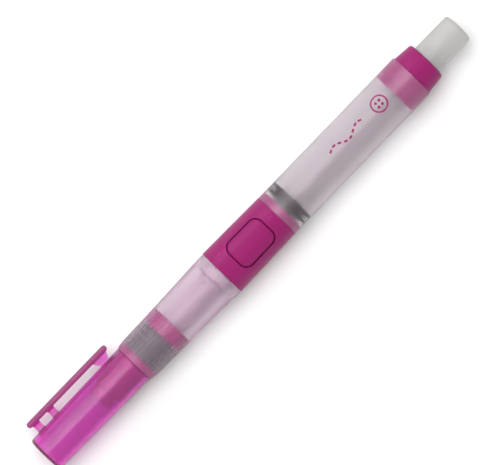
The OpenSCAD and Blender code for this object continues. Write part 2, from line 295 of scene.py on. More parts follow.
def finish(name, look):
    material = bpy.data.materials.new(name)
    material.use_nodes = True
    tree = material.node_tree
    shader = tree.nodes["Principled BSDF"]
    place = addNode(tree, "ShaderNodeTexCoord").outputs["Object"]
    geometry = addNode(tree, "ShaderNodeNewGeometry")
    tint = addNode(
        tree,
        "ShaderNodeGroup",
        {"node_tree": flowTint},
        {
            "Vector": place,
            "Colour": (*look["colour"], 1.0),
            "Deeper": (*look["deeper"], 1.0),
            "Amount": look.get("flow", 0.5),
        },
    )
    colour = tint.outputs["Colour"]
    # the "thick" colour is a darker colour painted past a height along Y
    if "thick" in look:
        darkened = addNode(
            tree,
            "ShaderNodeGroup",
            {"node_tree": thickTint},
            {
                "Vector": place,
                "Start": look["thickStart"] * mm,
                "Colour": colour,
                "Darker": (*look["thick"], 1.0),
            },
        )
        colour = darkened.outputs["Colour"]
    # convex edges take the edge colour: rubbed wear, and partly a painted rim highlight
    wearAndHighlight = addNode(
        tree,
        "ShaderNodeGroup",
        {"node_tree": edgeWearAndHighlight},
        {
            "Vector": place,
            "Pointiness": geometry.outputs["Pointiness"],
            "Colour": colour,
            "Worn And Lit": (*look.get("wornLitEdge", look["colour"]), 1.0),
            "Amount": look.get("wearAndHighlight", 0.3),
        },
    )
    dull = look["roughness"]
    for start, end in look.get("contacts", []):
        ends = {"Start": start * mm, "End": end * mm, "Frosted": dull, "Clear": look["contactRoughness"]}
        band = addNode(tree, "ShaderNodeGroup", {"node_tree": contactBand}, {"Vector": place, **ends})
        dull = band.outputs["Roughness"]
    worn = addNode(
        tree,
        "ShaderNodeGroup",
        {"node_tree": handling},
        {
            "Vector": place,
            "Roughness": dull,
            "Smudge": look.get("smudge", 0.05),
            "Scratch": look.get("scratch", 0.3),
        },
    )
    grain = addNode(
        tree,
        "ShaderNodeGroup",
        {"node_tree": mouldGrain},
        {
            "Vector": place,
            "Fineness": look.get("fineness", 6000.0),
            "Depth": look.get("grain", 0.5),
            "Ripple": look.get("ripple", 0.3),
        },
    )
    height = math2(tree, "ADD", grain.outputs["Height"], worn.outputs["Scratch Height"])
    bump = addNode(
        tree,
        "ShaderNodeBump",
        inputs={"Height": height, "Strength": look.get("bump", 0.15), "Distance": bumpRelief * mm},
    )
    links = tree.links
    links.new(wearAndHighlight.outputs["Colour"], shader.inputs["Base Color"])
    links.new(worn.outputs["Roughness"], shader.inputs["Roughness"])
    links.new(bump.outputs["Normal"], shader.inputs["Normal"])
    for socket, value in look.get("shader", {}).items():
        shader.inputs[socket].default_value = value
    if "body" in look:  # dye all through the plastic, deeper where it is thick
        soak = addNode(
            tree,
            "ShaderNodeVolumeAbsorption",
            inputs={"Color": (*look["body"], 1.0), "Density": look["bodyDensity"]},
        )
        links.new(soak.outputs["Volume"], tree.nodes["Material Output"].inputs["Volume"])
    return material


finishes = {
    "capTint": dict(
        colour=(0.99, 0.5, 0.98),
        deeper=(0.98, 0.4, 0.95),
        flow=0.45,
        # paler edges: rubbed wear, and partly a painted rim highlight
        wornLitEdge=(0.99, 0.7, 0.97),
        wearAndHighlight=0.5,
        # the clip bar is painted darker past 6.9 mm along Y
        thick=(0.52, 0.24, 0.46),
        thickStart=6.9,
        body=(0.9, 0.02, 0.75),
        bodyDensity=900.0,
        roughness=0.16,
        smudge=0.1,
        scratch=0.5,
        grain=0.12,
        ripple=1.0,
        bump=0.3,
        shader={"Transmission Weight": 0.94, "IOR": 1.4, "Specular IOR Level": 0.4},
    ),
    "magentaSatin": dict(
        colour=(0.27, 0.01, 0.12),
        deeper=(0.23, 0.007, 0.1),
        flow=0.6,
        # paler edges: rubbed wear, and partly a painted rim highlight
        wornLitEdge=(0.4, 0.06, 0.24),
        wearAndHighlight=0.4,
        roughness=0.44,
        smudge=0.1,
        scratch=0.6,
        grain=0.8,
        bump=0.25,
        shader={
            "IOR": 1.5,
            "Specular IOR Level": 0.25,
            "Subsurface Weight": 0.1,
            "Subsurface Scale": 0.0006,
        },
    ),
    "nozzleSatin": dict(
        colour=(0.46, 0.05, 0.25),
        deeper=(0.4, 0.035, 0.2),
        flow=0.5,
        # paler edges: rubbed wear, and partly a painted rim highlight
        wornLitEdge=(0.6, 0.15, 0.38),
        roughness=0.34,
        grain=0.5,
        shader={"IOR": 1.5},
    ),
    "gripFrost": dict(
        colour=(0.98, 0.92, 0.965),
        deeper=(0.965, 0.89, 0.945),
        flow=0.5,
        body=(0.6, 0.1, 0.45),
        bodyDensity=50.0,
        wornLitEdge=(0.9, 0.84, 0.9),
        wearAndHighlight=0.6,
        roughness=0.42,
        smudge=0.06,
        scratch=0.5,
        grain=1.0,
        bump=0.3,
        shader={"Transmission Weight": 0.965, "IOR": 1.36, "Specular IOR Level": 0.65},
    ),
    "rearFrost": dict(
        colour=(0.98, 0.95, 0.972),
        deeper=(0.965, 0.925, 0.955),
        flow=0.5,
        contacts=[(83.0, 90.2), (125.8, 134.0)],
        contactRoughness=0.32,
        body=(0.5, 0.1, 0.35),
        bodyDensity=45.0,
        wornLitEdge=(0.9, 0.88, 0.9),
        wearAndHighlight=0.6,
        roughness=0.42,
        smudge=0.06,
        scratch=0.5,
        grain=1.0,
        bump=0.3,
        shader={"Transmission Weight": 0.965, "IOR": 1.36, "Specular IOR Level": 0.65},
    ),
    "knobFrost": dict(
        colour=(0.74, 0.73, 0.715),
        deeper=(0.69, 0.68, 0.665),
        flow=0.5,
        # paler edges: rubbed wear, and partly a painted rim highlight
        wornLitEdge=(0.92, 0.92, 0.91),
        wearAndHighlight=0.6,
        roughness=0.4,
        smudge=0.08,
        scratch=0.5,
        grain=1.0,
        bump=0.3,
        shader={"Transmission Weight": 0.66, "IOR": 1.44},
    ),
    "clearInner": dict(
        colour=(0.98, 0.96, 0.97),
        deeper=(0.95, 0.93, 0.94),
        flow=0.4,
        roughness=0.36,
        grain=0.6,
        shader={"Transmission Weight": 0.92, "IOR": 1.36},
    ),
    "milkyInner": dict(
        colour=(0.72, 0.58, 0.68),
        deeper=(0.66, 0.52, 0.62),
        flow=0.4,
        roughness=0.4,
        grain=0.6,
        shader={"Transmission Weight": 0.3, "IOR": 1.4},
    ),
    "whiteAcetal": dict(
        colour=(0.8, 0.78, 0.76),
        deeper=(0.73, 0.71, 0.68),
        flow=0.4,
        roughness=0.38,
        grain=0.6,
        shader={"IOR": 1.48, "Subsurface Weight": 0.15, "Subsurface Scale": 0.0008},
    ),
    "pinkAcetal": dict(
        colour=(0.78, 0.69, 0.74),
        deeper=(0.71, 0.62, 0.67),
        flow=0.4,
        roughness=0.38,
        grain=0.6,
        shader={
            "IOR": 1.48,
            "Transmission Weight": 0.15,
            "Subsurface Weight": 0.15,
            "Subsurface Scale": 0.0008,
        },
    ),
    "creamAcetal": dict(
        colour=(0.72, 0.64, 0.46),
        deeper=(0.64, 0.56, 0.4),
        flow=0.4,
        roughness=0.36,
        grain=0.6,
        shader={"IOR": 1.48, "Subsurface Weight": 0.15, "Subsurface Scale": 0.0008},
    ),
    "greyRubber": dict(
        colour=(0.17, 0.14, 0.17),
        deeper=(0.13, 0.11, 0.13),
        flow=0.6,
        roughness=0.62,
        grain=1.2,
        bump=0.4,
        shader={"IOR": 1.5, "Sheen Weight": 0.1},
    ),
    "blackMoulding": dict(
        colour=(0.05, 0.035, 0.045),
        deeper=(0.03, 0.022, 0.028),
        flow=0.5,
        roughness=0.4,
        grain=0.8,
        shader={"IOR": 1.5},
    ),
    "nitrileBlack": dict(
        colour=(0.014, 0.012, 0.014),
        deeper=(0.008, 0.007, 0.008),
        flow=0.5,
        roughness=0.5,
        grain=0.6,
        shader={"IOR": 1.5, "Sheen Weight": 0.08},
    ),
    "stickWax": dict(
        colour=(0.6, 0.06, 0.2),
        deeper=(0.48, 0.035, 0.14),
        flow=0.8,
        roughness=0.5,
        grain=1.2,
        bump=0.4,
        fineness=3500.0,
        shader={"IOR": 1.45, "Subsurface Weight": 0.25, "Subsurface Scale": 0.001},
    ),
    "springSteel": dict(
        colour=(0.62, 0.61, 0.6),
        deeper=(0.5, 0.49, 0.48),
        flow=0.4,
        roughness=0.24,
        scratch=0.8,
        grain=0.5,
        shader={"Metallic": 1.0, "IOR": 2.5},
    ),
    "turnedBrass": dict(
        colour=(0.78, 0.55, 0.22),
        deeper=(0.62, 0.4, 0.15),
        flow=0.5,
        roughness=0.26,
        scratch=1.0,
        grain=0.4,
        shader={"Metallic": 1.0},
    ),
    "printInk": dict(
        colour=(0.3, 0.02, 0.12),
        deeper=(0.26, 0.015, 0.1),
        flow=0.8,
        roughness=0.45,
        grain=1.5,
        bump=0.4,
        shader={"IOR": 1.5},
    ),
}
paint = {name: finish(name, look) for name, look in finishes.items()}
print("materials made:", len(paint))


# shaping helpers, all sizes in millimetres

# parts pressed into the clear barrels bite this far into the bore, so no air shows between them
bite = 0.03


# first and last station of a node along the pen, and its greatest height over the axis
def span(node):
    low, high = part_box(node)
    return low.x / mm, high.x / mm, high.z / mm


def ringEdges(bm, x, radius):
    def onRing(vert):
        r = math.hypot(vert.co.y, vert.co.z)
        return abs(vert.co.x - x * mm) < 2 * weld and abs(r - radius * mm) < 2 * weld

    return [e for e in bm.edges if onRing(e.verts[0]) and onRing(e.verts[1])]


def roundOver(bm, edges, size, segments=4):
    bmesh.ops.bevel(
        bm,
        geom=edges,
        offset=size * mm,
        offset_type="OFFSET",
        segments=segments,
        profile=0.5,
        affect="EDGES",
        clamp_overlap=True,
        material=-1,
    )


# spins a section of (station, radius, rounding) points round the pen's axis
def turned(section, steps=144):
    bm = bmesh.new()
    verts = [bm.verts.new((x * mm, 0.0, r * mm)) for x, r, _ in section]
    pairs = list(zip(verts, verts[1:]))
    if section[0][1] > 0 or section[-1][1] > 0:
        pairs.append((verts[-1], verts[0]))
    edges = [bm.edges.new(pair) for pair in pairs]
    bmesh.ops.spin(
        bm,
        geom=verts + edges,
        cent=(0, 0, 0),
        axis=(1, 0, 0),
        dvec=(0, 0, 0),
        angle=math.tau,
        steps=steps,
        use_merge=True,
    )
    bmesh.ops.remove_doubles(bm, verts=bm.verts, dist=weld)
    bmesh.ops.recalc_face_normals(bm, faces=bm.faces)
    for x, r, size in section:
        if size:
            roundOver(bm, ringEdges(bm, x, r), size, 3 if size < 0.3 else 6)
    return bm


# a round-cornered slab lying in the XY plane, its top at the height given
def roundSlab(length, width, corner, top, thickness, centre=(0.0, 0.0)):
    bm = bmesh.new()
    bmesh.ops.create_cube(bm, size=1.0)
    bmesh.ops.scale(bm, vec=(length * mm, width * mm, thickness * mm), verts=bm.verts)
    shift = (centre[0] * mm, centre[1] * mm, (top - thickness / 2) * mm)
    bmesh.ops.translate(bm, vec=shift, verts=bm.verts)
    if corner:
        upright = [e for e in bm.edges if abs(e.verts[0].co.z - e.verts[1].co.z) > weld]
        roundOver(bm, upright, corner, 10)
    return bm


# cuts a flat mesh across Y, so that it bends smoothly when it is wrapped
def sliceAcross(bm, low, high, step):
    count = int(round((high - low) / step))
    for i in range(1, count):
        y = (low + (high - low) * i / count) * mm
        bmesh.ops.bisect_plane(
            bm,
            geom=bm.verts[:] + bm.edges[:] + bm.faces[:],
            dist=weld / 5,
            plane_co=(0, y, 0),
            plane_no=(0, 1, 0),
        )


# wraps a flat mesh on the pen: Y becomes the way round, Z the height over the surface,
# measured out from the axis or, for a part that slides straight down, along Z
def wrap(bm, radiusAt, flatRadius, upright=False):
    for vert in bm.verts:
        x, y, z = vert.co
        surface = radiusAt(x / mm) * mm
        angle = y / (flatRadius * mm)
        r = surface if upright else surface + z
        vert.co = (x, r * math.sin(angle), r * math.cos(angle) + (z if upright else 0.0))


def meshFrom(bm, name):
    bmesh.ops.remove_doubles(bm, verts=bm.verts, dist=weld)
    bmesh.ops.recalc_face_normals(bm, faces=bm.faces)
    mesh = bpy.data.meshes.new(name)
    bm.to_mesh(mesh)
    bm.free()
    return mesh


def objectFrom(bm, name):
    thing = bpy.data.objects.new(name, meshFrom(bm, name))
    scene.collection.objects.link(thing)
    return thing


# runs boolean modifiers and gives back a bmesh of the result
def combined(bm, others):
    base = objectFrom(bm, "blank")
    helpers = []
    for operation, other in others:
        tool = objectFrom(other, "tool")
        helpers.append(tool)
        cut = base.modifiers.new("cut", "BOOLEAN")
        cut.operation = operation
        cut.solver = "EXACT"
        cut.object = tool
    graph = bpy.context.evaluated_depsgraph_get()
    result = bmesh.new()
    result.from_mesh(base.evaluated_get(graph).to_mesh())
    for thing in [base, *helpers]:
        bpy.data.objects.remove(thing)
    return result


# turns a bmesh into a finished piece of the pen
def piece(name, bm, look, body, replaced, sharp=35.0):
    thing = objectFrom(bm, name)
    thing.data.shade_smooth()
    thing.data.set_sharp_from_angle(angle=math.radians(sharp))
    thing.data.materials.append(paint[look])
    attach(thing, body)
    if replaced:
        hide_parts(*replaced)
    return thing


# cap with its clip

capShape = {
    "endRadius": 5.15,
    "endRound": 0.75,
    "endWall": 0.8,
    "deepRadius": 4.2,
    "boreRadius": 4.6,
    "taperEnd": 21.0,
    "mouthRound": 0.18,
    "clipStart": 2.1,
    "clipLength": 28.2,
    "clipThickness": 1.6,
    "clipWidth": 4.2,
    "clipNose": 0.74,
    "clipSoftness": 0.32,
    "posts": [(3.1, 2.1), (8.3, 2.0)],
    "postWidth": 2.4,
    "ribStart": 24.5,
    "ribLength": 5.1,
    "ribFrontSlope": 1.3,
    "ribRearSlope": 0.9,
    "ribWidth": 1.2,
    "gateRadius": 0.9,
    "gateDepth": 0.12,
}


def buildClipBar(s, outer):
    bm = bmesh.new()
    x0, x1 = s["clipStart"] * mm, (s["clipStart"] + s["clipLength"]) * mm
    y0, y1 = (outer - s["clipThickness"]) * mm, outer * mm
    bmesh.ops.create_cube(bm, size=1.0)
    bmesh.ops.scale(bm, vec=(x1 - x0, y1 - y0, s["clipWidth"] * mm), verts=bm.verts)
    bmesh.ops.translate(bm, vec=((x0 + x1) / 2, (y0 + y1) / 2, 0), verts=bm.verts)
    ends = [e for e in bm.edges if abs(e.verts[0].co.z - e.verts[1].co.z) > weld]
    roundOver(bm, ends, s["clipNose"], 8)
    rims = [e for e in bm.edges if abs(e.verts[0].co.z - e.verts[1].co.z) < weld and len(e.link_faces) == 2
            and e.calc_face_angle() > 1.2]
    roundOver(bm, rims, s["clipSoftness"], 4)
    return bm


# a post that flares where it meets the shell and the bar
def buildPost(x, length, width, low, high):
    bm = bmesh.new()
    bmesh.ops.create_cube(bm, size=1.0)
    bmesh.ops.scale(bm, vec=(length * mm, (high - low) * mm, width * mm), verts=bm.verts)
    uprights = [e for e in bm.edges if abs(e.verts[0].co.y - e.verts[1].co.y) > weld]
    roundOver(bm, uprights, 0.35, 4)
    uprights = [e for e in bm.edges if abs(e.verts[0].co.y - e.verts[1].co.y) > weld]
    bmesh.ops.subdivide_edges(bm, edges=uprights, cuts=11)
    reach = (high - low) / 2 * mm
    for vert in bm.verts:
        flare = 0.97 + 0.33 * abs(vert.co.y / reach) ** 4
        vert.co.x *= flare
        vert.co.z *= flare
    bmesh.ops.translate(bm, vec=((x + length / 2) * mm, (low + high) / 2 * mm, 0), verts=bm.verts)
    return bm


def buildRib(s, low, high):
    bm = bmesh.new()
    bmesh.ops.create_cube(bm, size=1.0)
    middle = s["ribStart"] + s["ribLength"] / 2
    bmesh.ops.scale(bm, vec=(s["ribLength"] * mm, (high - low) * mm, s["ribWidth"] * mm), verts=bm.verts)
    bmesh.ops.translate(bm, vec=(middle * mm, (low + high) / 2 * mm, 0), verts=bm.verts)
    foot = [v for v in bm.verts if v.co.y < (low + high) / 2 * mm]
    for vert in foot:
        vert.co.x += (s["ribFrontSlope"] if vert.co.x < middle * mm else -s["ribRearSlope"]) * mm
    roundOver(bm, [e for e in bm.edges if all(v in foot for v in e.verts)], 0.3, 3)
    return bm


def buildCap(s):
    x0, x1, mouth = span("cap")
    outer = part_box("cap")[1].y / mm
    shell = turned(
        [
            (x0 + s["gateDepth"], 0, 0),
            (x0 + s["gateDepth"], s["gateRadius"], 0),
            (x0, s["gateRadius"] + 0.1, 0),
            (x0, s["endRadius"], s["endRound"]),
            (x1, mouth, s["mouthRound"]),
            (x1, s["boreRadius"], 0.1),
            (x0 + s["taperEnd"], s["boreRadius"], 0),
            (x0 + s["endWall"], s["deepRadius"], 0.4),
            (x0 + s["endWall"], 0, 0),
        ]
    )
    inner = outer - s["clipThickness"]
    parts = [("UNION", buildClipBar(s, outer))]
    for x, length in s["posts"]:
        parts.append(("UNION", buildPost(x, length, s["postWidth"], s["endRadius"] - 0.35, inner + 0.25)))
    parts.append(("UNION", buildRib(s, mouth + 0.06, inner + 0.3)))
    return combined(shell, parts)


piece("capWithClip", buildCap(capShape), "capTint", "cap", ["cap"])
print("cap made")

# nozzle, its seal, and the stick, all held in the grip

gripShape = {
    "edgeRadius": 5.75,
    "ribs": 34,
    "ribStart": 1.5,
    "ribLength": 12.3,
    "ribDepth": 0.2,
    "ribSlope": 0.07,
    "nozzleBore": 5.05,
    "ledgeBore": 4.7,
    "frameBore": 5.5,
    # (distance from the front edge, radius) along the outside
    "outline": [(1.5, 5.93), (2.2, 6.03), (13.8, 6.22), (19.0, 6.36), (24.0, 6.52), (28.0, 6.64)],
}
nozzleShape = {
    "tipRadius": 3.4,
    "tipLength": 2.8,
    "bodyRadius": 4.5,
    "beadRadius": 4.57,
    "grooveRadius": 4.3,
    "grooveLength": 7.8,
    "tipBore": 2.45,
    "tubeBore": 3.05,
}


def buildNozzle(s):
    x0, x1, _ = span("nozzle")
    tail = gripShape["nozzleBore"] + bite
    gripStart = span("grip_barrel")[0]
    sealStart = span("nozzle_seal")[0] - 0.05
    return turned(
        [
            (x0, s["tipBore"], 0.15),
            (x0, s["tipRadius"], 0.4),
            (x0 + s["tipLength"], s["tipRadius"], 0.1),
            (x0 + s["tipLength"] + 0.6, s["bodyRadius"], 0.15),
            (gripStart - 2.8, s["bodyRadius"], 0),
            (gripStart - 2.5, s["beadRadius"], 0),
            (gripStart - 2.1, s["beadRadius"], 0),
            (gripStart - 1.8, s["bodyRadius"], 0),
            (gripStart, s["bodyRadius"], 0),
            (gripStart, tail, 0.05),
            (sealStart, tail, 0.08),
            (sealStart, s["grooveRadius"], 0),
            (sealStart + s["grooveLength"], s["grooveRadius"], 0),
            (sealStart + s["grooveLength"], tail, 0.08),
            (x1, tail, 0.15),
            (x1, s["tubeBore"], 0),
            (x0 + s["tipLength"] + 0.4, s["tubeBore"], 0),
            (x0 + s["tipLength"] + 0.4, s["tipBore"], 0),
        ]
    )


piece("nozzleBody", buildNozzle(nozzleShape), "nozzleSatin", "barrel", ["nozzle"])


# the seal has shallow grooves that grip the barrel
def buildSeal():
    x0, x1, _ = span("nozzle_seal")
    r = gripShape["nozzleBore"] + bite
    section = [(x0, nozzleShape["grooveRadius"] + 0.02, 0)]
    ridges = 5
    pitch = (x1 - x0) / ridges
    for i in range(ridges):
        x = x0 + i * pitch
        section += [(x + 0.02, r, 0.1), (x + pitch - 0.3, r, 0.1), (x + pitch - 0.28, r - 0.14, 0)]
        section += [(x + pitch - 0.02, r - 0.14, 0)] if i < ridges - 1 else []
    section += [(x1, nozzleShape["grooveRadius"] + 0.02, 0)]
    return turned(section, 96)


piece("noseSeal", buildSeal(), "greyRubber", "barrel", ["nozzle_seal"])


def buildStick():
    x0, x1, r = span("marking_stick")
    return turned([(x0, 0, 0), (x0, r, 0.35), (x1, r, 0.1), (x1, 0, 0)], 96)


def buildRefill(wallBore=2.45, tubeRadius=3.0, flangeLength=1.5):
    x0, x1, flange = span("refill_tube")
    return turned(
        [
            (x0, wallBore, 0),
            (x0, tubeRadius, 0.1),
            (x1 - flangeLength, tubeRadius, 0),
            (x1 - flangeLength, flange, 0.15),
            (x1, flange, 0.15),
            (x1, wallBore, 0.05),
        ],
        96,
    )


def buildFollower(rodBore=1.47):
    x0, x1, r = span("stick_follower")
    rodStart = span("feed_rod")[0] - 0.02
    return turned(
        [
            (x0, 0, 0),
            (x0, r, 0.15),
            (x0 + 0.88, r, 0),
            (x0 + 0.88, r - 0.35, 0),
            (x0 + 1.28, r - 0.35, 0),
            (x0 + 1.28, r, 0),
            (x1, r, 0.2),
            (x1, rodBore, 0.1),
            (rodStart, rodBore, 0),
            (rodStart, 0, 0),
        ],
        96,
    )


def buildRod(rodRadius=1.45, headLength=1.4):
    x0, x1, head = span("feed_rod")
    return turned(
        [
            (x0, 0, 0),
            (x0, rodRadius, 0.15),
            (x1 - headLength, rodRadius, 0),
            (x1 - headLength, head, 0.1),
            (x1, head, 0.3),
            (x1, 0, 0),
        ],
        72,
    )


piece("markingStick", buildStick(), "stickWax", "feed", ["marking_stick"])
piece("refillTube", buildRefill(), "milkyInner", "barrel", ["refill_tube"])
piece("stickFollower", buildFollower(), "whiteAcetal", "feed", ["stick_follower"])
piece("feedRod", buildRod(), "pinkAcetal", "feed", ["feed_rod"])
print("nozzle, seal and stick made")

# ribbed front barrel


def buildGrip(s):
    x0, x1, rear = span("grip_barrel")
    tailEnd = span("nozzle")[1] + 0.05
    frameStart = span("mechanism_frame")[0] - 0.1
    perRib = 7
    section = [(x0, s["nozzleBore"], 0.05), (x0, s["edgeRadius"], 0.15)]
    section += [(x0 + x, r, 0) for x, r in s["outline"]]
    section += [
        (x1, rear, 0.08),
        (x1, s["frameBore"], 0),
        (frameStart, s["frameBore"], 0),
        (frameStart, s["ledgeBore"], 0),
        (tailEnd, s["ledgeBore"], 0),
        (tailEnd, s["nozzleBore"], 0),
    ]
    bm = turned(section, s["ribs"] * perRib)
    low, high = (x0 + s["ribStart"]) * mm, (x0 + s["ribStart"] + s["ribLength"]) * mm
    grooves = []
    for face in bm.faces:
        middle = face.calc_center_median()
        outside = math.hypot(middle.y, middle.z) > s["edgeRadius"] * mm
        if outside and all(low - weld < v.co.x < high + weld for v in face.verts):
            turn = math.atan2(middle.y, middle.z) / math.tau * s["ribs"] * perRib
            if int(turn + s["ribs"] * perRib) % perRib < 3:
                grooves.append(face)
    bmesh.ops.inset_region(
        bm,
        faces=grooves,
        thickness=s["ribSlope"] * mm,
        depth=-s["ribDepth"] * mm,
        use_boundary=True,
        use_even_offset=True,
    )
    return bm


piece("gripBarrel", buildGrip(gripShape), "gripFrost", "barrel", ["grip_barrel"], 28.0)
print("grip made")

# centre sleeve with its window, and the side button

sleeveShape = {
    "rearRadius": 6.45,
    "bore": 5.5,
    "endRound": 0.14,
    "windowLength": 11.9,
    "windowWidth": 8.5,
    "windowCorner": 2.4,
    "rimRound": 0.74,
}
buttonShape = {
    "length": 11.7,
    "width": 8.3,
    "corner": 2.3,
    "thickness": 0.85,
    "sink": 0.12,
    "rimRound": 0.74,
    "tabLength": 0.9,
    "tabWidth": 3.0,
    "legLength": 3.0,
    "legInner": 3.5,
    "legOuter": 3.86,
    "legLow": -0.9,
    "legHigh": 4.75,
}
sleeveStart, sleeveEnd, sleeveFront = span("centre_sleeve")
buttonLow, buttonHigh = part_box("side_button")
buttonMiddle = (buttonLow.x + buttonHigh.x) / 2 / mm


def sleeveRadius(x):
    share = (x - sleeveStart) / (sleeveEnd - sleeveStart)
    return sleeveFront + (sleeveShape["rearRadius"] - sleeveFront) * share


# a straight width, measured round the sleeve instead
def roundWidth(width, radius):
    return 2 * radius * math.asin(width / 2 / radius)


def buildSleeve(s):
    flat = sleeveRadius(buttonMiddle)
    half = math.pi * flat
    length = sleeveEnd - sleeveStart
    wall = flat - s["bore"]
    slab = roundSlab(length, 2 * half, 0, 0, wall, ((sleeveStart + sleeveEnd) / 2, 0))
    wide = roundWidth(s["windowWidth"], flat)
    over = 0.05  # the plug stands out of the wall on both sides
    plug = roundSlab(
        s["windowLength"],
        s["windowWidth"],
        s["windowCorner"],
        over,
        wall + 2 * over,
        (buttonMiddle, 0),
    )
    for vert in plug.verts:  # once wrapped, the window's sides stand upright
        vert.co.y = flat * mm * math.asin(vert.co.y / (flat * mm + vert.co.z))
    bm = combined(slab, [("DIFFERENCE", plug)])
    topSharp = [
        e
        for e in bm.edges
        if all(abs(v.co.z) < weld for v in e.verts) and len(e.link_faces) == 2 and e.calc_face_angle() > 1.2
    ]
    rim = [e for e in topSharp if all(abs(v.co.y) < wide * 0.6 * mm for v in e.verts)]
    roundOver(bm, rim, s["rimRound"], 4)
    ends = [
        e
        for e in bm.edges
        if all(abs(v.co.z) < weld for v in e.verts)
        and abs(e.verts[0].co.x - e.verts[1].co.x) < weld
        and min(abs(e.verts[0].co.x / mm - sleeveStart), abs(e.verts[0].co.x / mm - sleeveEnd)) < 0.001
    ]
    roundOver(bm, ends, s["endRound"], 3)
    seam = (half - 0.1) * mm
    closing = [f for f in bm.faces if abs(f.normal.y) > 0.99 and abs(f.calc_center_median().y) > seam]
    bmesh.ops.delete(bm, geom=closing, context="FACES")
    sliceAcross(bm, -half, half, 0.29)
    for vert in bm.verts:  # the bore stays straight under the taper
        station = vert.co.x / mm
        vert.co.z *= (sleeveRadius(station) - s["bore"]) / wall
    wrap(bm, sleeveRadius, flat)
    return bm


def buildButton(s):
    flat = sleeveRadius(buttonMiddle) - s["sink"]
    wide = roundWidth(s["width"], flat)
    bm = roundSlab(s["length"], s["width"], s["corner"], 0, s["thickness"], (buttonMiddle, 0))
    for vert in bm.verts:  # corners that match the window's, seen from above
        vert.co.y = flat * mm * math.asin(vert.co.y / (flat * mm))
    rim = [e for e in bm.edges if all(abs(v.co.z) < weld for v in e.verts)]
    roundOver(bm, rim, s["rimRound"], 5)
    sliceAcross(bm, -wide / 2, wide / 2, 0.29)
    wrap(bm, lambda x: sleeveRadius(x) - s["sink"], flat, upright=True)
    half = s["length"] / 2
    parts = []
    for side in (-1, 1):  # tabs that hold the pad under the sleeve
        middle = buttonMiddle + side * (half + s["tabLength"] / 2 - 0.4)
        tab = roundSlab(s["tabLength"] + 0.8, s["tabWidth"], 0, 5.2, 0.5, (middle, 0))
        roundOver(tab, tab.edges[:], 0.1, 2)
        parts.append(("UNION", tab))
        stem = roundSlab(0.76, s["tabWidth"] - 0.1, 0, 5.82, 0.77, (buttonMiddle + side * (half - 0.42), 0))
        parts.append(("UNION", stem))
        leg = bmesh.new()
        bmesh.ops.create_cube(leg, size=1.0)
        thick = s["legOuter"] - s["legInner"]
        tall = s["legHigh"] - s["legLow"]
        bmesh.ops.scale(leg, vec=(s["legLength"] * mm, thick * mm, tall * mm), verts=leg.verts)
        x = span("clutch_ring")[1] + 0.6 + s["legLength"] / 2
        y = side * (s["legInner"] + s["legOuter"]) / 2
        bmesh.ops.translate(leg, vec=(x * mm, y * mm, (s["legLow"] + tall / 2) * mm), verts=leg.verts)
        foot = bmesh.ops.bisect_plane(
            leg,
            geom=leg.verts[:] + leg.edges[:] + leg.faces[:],
            plane_co=((x - s["legLength"] / 2) * mm, 0, s["legLow"] * mm),
            plane_no=(1, 0, -1),
            clear_outer=True,
        )
        cut = [g for g in foot["geom_cut"] if isinstance(g, bmesh.types.BMEdge)]
        bmesh.ops.contextual_create(leg, geom=cut)
        parts.append(("UNION", leg))
    joined = combined(bm, parts)
    bmesh.ops.triangulate(joined, faces=joined.faces[:])
    return joined


def joinInto(bm, other):
    bmesh.ops.recalc_face_normals(other, faces=other.faces)
    mesh = bpy.data.meshes.new("part")
    other.to_mesh(mesh)
    other.free()
    bm.from_mesh(mesh)
    bpy.data.meshes.remove(mesh)


piece("centreSleeve", buildSleeve(sleeveShape), "magentaSatin", "barrel", ["centre_sleeve"])
piece("sideButton", buildButton(buttonShape), "magentaSatin", "side_button", ["side_button"])
print("sleeve and button made")

# mechanism inside the sleeve


rearShape = {"bore": 5.5, "edge": 0.25}

# the plug that closes the sleeve: a spigot in the mechanism frame and a flange behind it
seatShape = {"bore": 2.7, "spigotRadius": 4.58}


def buildSeat(s):
    x0, x1, _ = span("spring_seat")
    flange = rearShape["bore"] + bite
    step = span("mechanism_frame")[1] + 0.02
    return turned(
        [
            (x0, s["bore"], 0.1),
            (x0, s["spigotRadius"], 0.1),
            (step, s["spigotRadius"], 0),
            (step, flange, 0.08),
            (x1, flange, 0.15),
            (x1, s["bore"], 0.1),
        ],
        120,
    )


bushShape = {"groove": 0.55, "bore": 2.66}


def buildBush(s):
    x0, x1, _ = span("rear_bushing")
    r = rearShape["bore"] + bite
    ring0, ring1, _ = span("bushing_o_ring")
    return turned(
        [
            (x0, s["bore"], 0.1),
            (x0, r, 0.15),
            (ring0 - 0.01, r, 0),
            (ring0 - 0.01, r - s["groove"], 0),
            (ring1 + 0.01, r - s["groove"], 0),
            (ring1 + 0.01, r, 0),
            (x1, r, 0.15),
            (x1, s["bore"], 0.1),
        ],
        120,
    )


# a circle of wire standing in the pen's XZ plane, ready to be spun
def wireCircle(bm, x, height, wire, sides):
    place = Matrix.Translation((x * mm, 0, height * mm))
    bmesh.ops.create_circle(
        bm,
        cap_ends=False,
        segments=sides,
        radius=wire * mm,
        matrix=place @ Matrix.Rotation(math.pi / 2, 4, "X"),
    )


def buildRing(sides=16):
    x0, x1, _ = span("bushing_o_ring")
    outer = rearShape["bore"] + bite
    wire = (x1 - x0) / 2
    bm = bmesh.new()
    wireCircle(bm, x0 + wire, outer - wire, wire, sides)
    bmesh.ops.spin(
        bm,
        geom=bm.verts[:] + bm.edges[:],
        cent=(0, 0, 0),
        axis=(1, 0, 0),
        dvec=(0, 0, 0),
        angle=math.tau,
        steps=120,
        use_merge=True,
    )
    return bm


def buildDriveTube(bore=1.9, socketRadius=2.07):
    x0, x1, r = span("drive_tube")
    socketEnd = span("collet")[1] + 0.1
    return turned(
        [
            (x0, socketRadius, 0.05),
            (x0, r, 0.15),
            (x1, r, 0.15),
            (x1, bore, 0.1),
            (socketEnd, bore, 0),
            (socketEnd, socketRadius, 0),
        ],
        96,
    )


